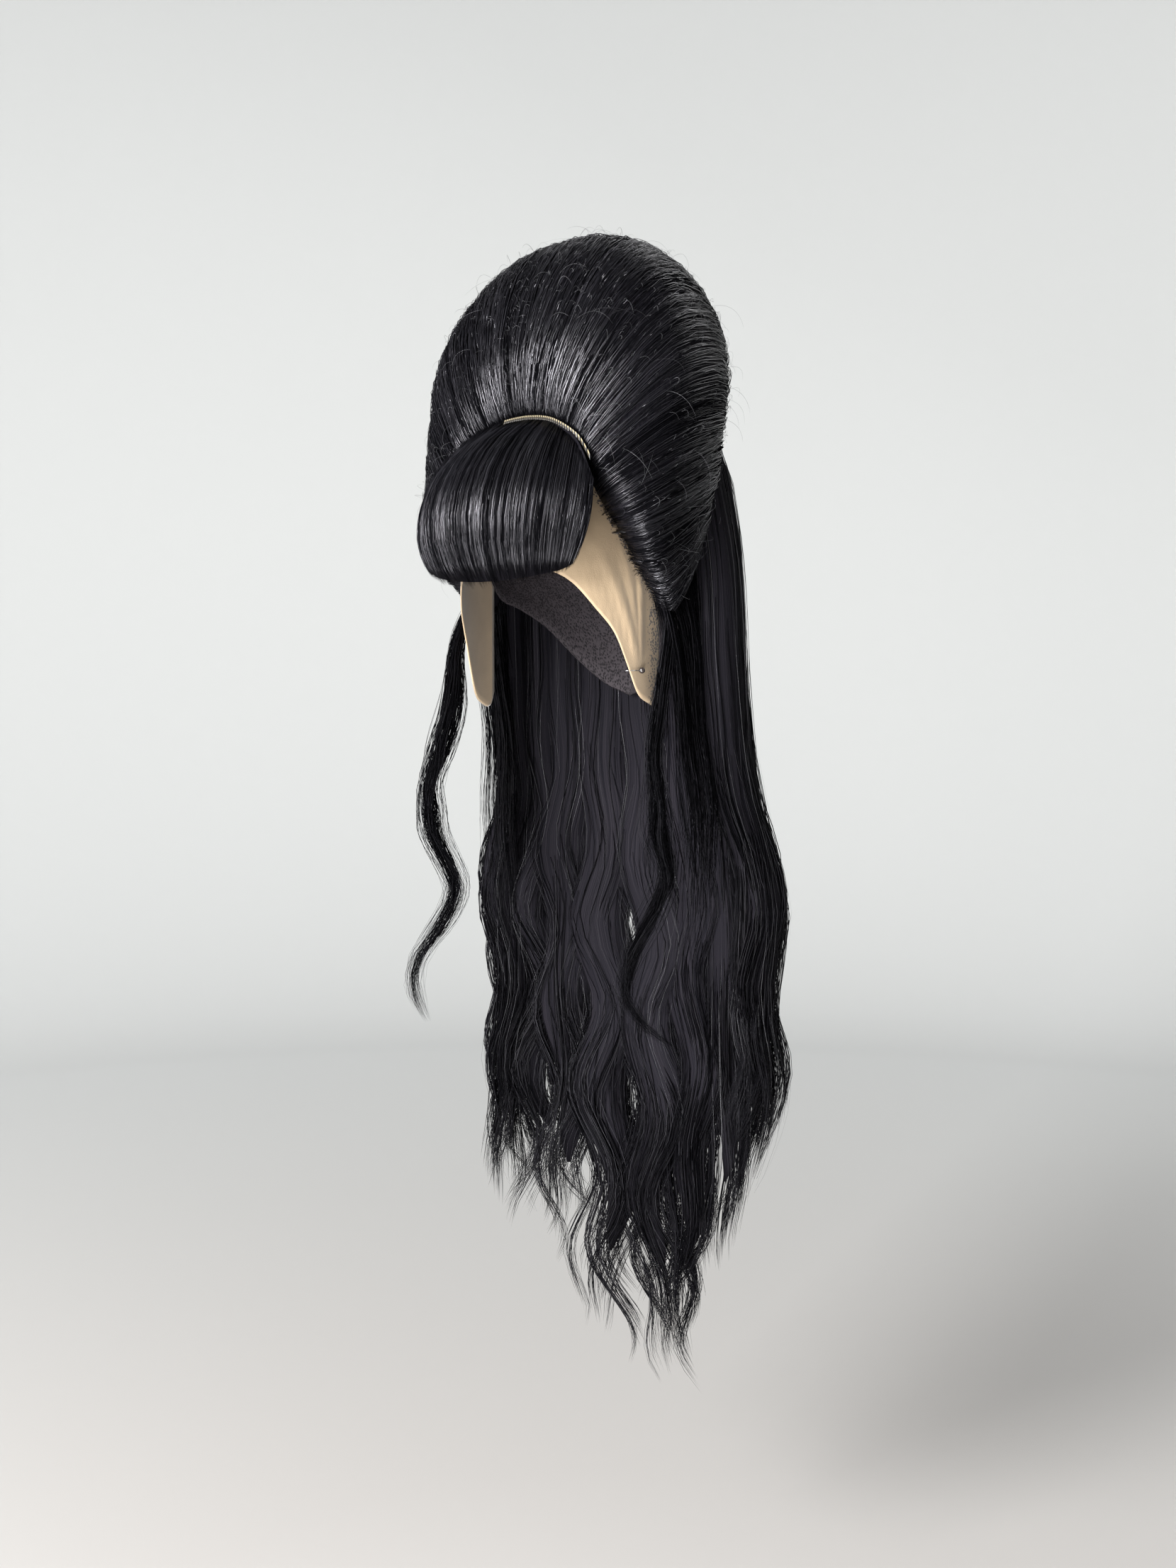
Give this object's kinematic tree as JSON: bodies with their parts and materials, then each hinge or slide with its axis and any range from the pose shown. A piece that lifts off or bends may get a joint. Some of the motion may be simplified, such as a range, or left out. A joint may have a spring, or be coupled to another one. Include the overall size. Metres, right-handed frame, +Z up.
{
  "type": "beehive wig",
  "caption": "Long black beehive wig with a tall teased crown, a rounded blunt fringe, waved side locks and a long waved fall.",
  "frame": {"origin": "where the top of the head touches the inside of the cap", "axes": "+Z up, the wig faces -Y, +X is the wearer's left"},
  "size_m": [0.2921, 0.2807, 0.9826],
  "materials": {
    "hair": "black hair with a soft grey sheen",
    "net": "matt dark net",
    "lace": "sheer beige lace",
    "band": "gold-beige mesh",
    "pin": "glossy dark ball"
  },
  "bodies": {
    "root": {"wig_cap": "net", "lace_front": "lace", "parting_band": "band", "beehive": "hair", "sweep_left": "hair", "sweep_right": "hair", "fringe": "hair", "side_lock_left": "hair", "side_lock_right": "hair", "fall_back": "hair", "fall_left": "hair", "fall_right": "hair", "ball_pin": "pin"}
  },
  "joints": []
}
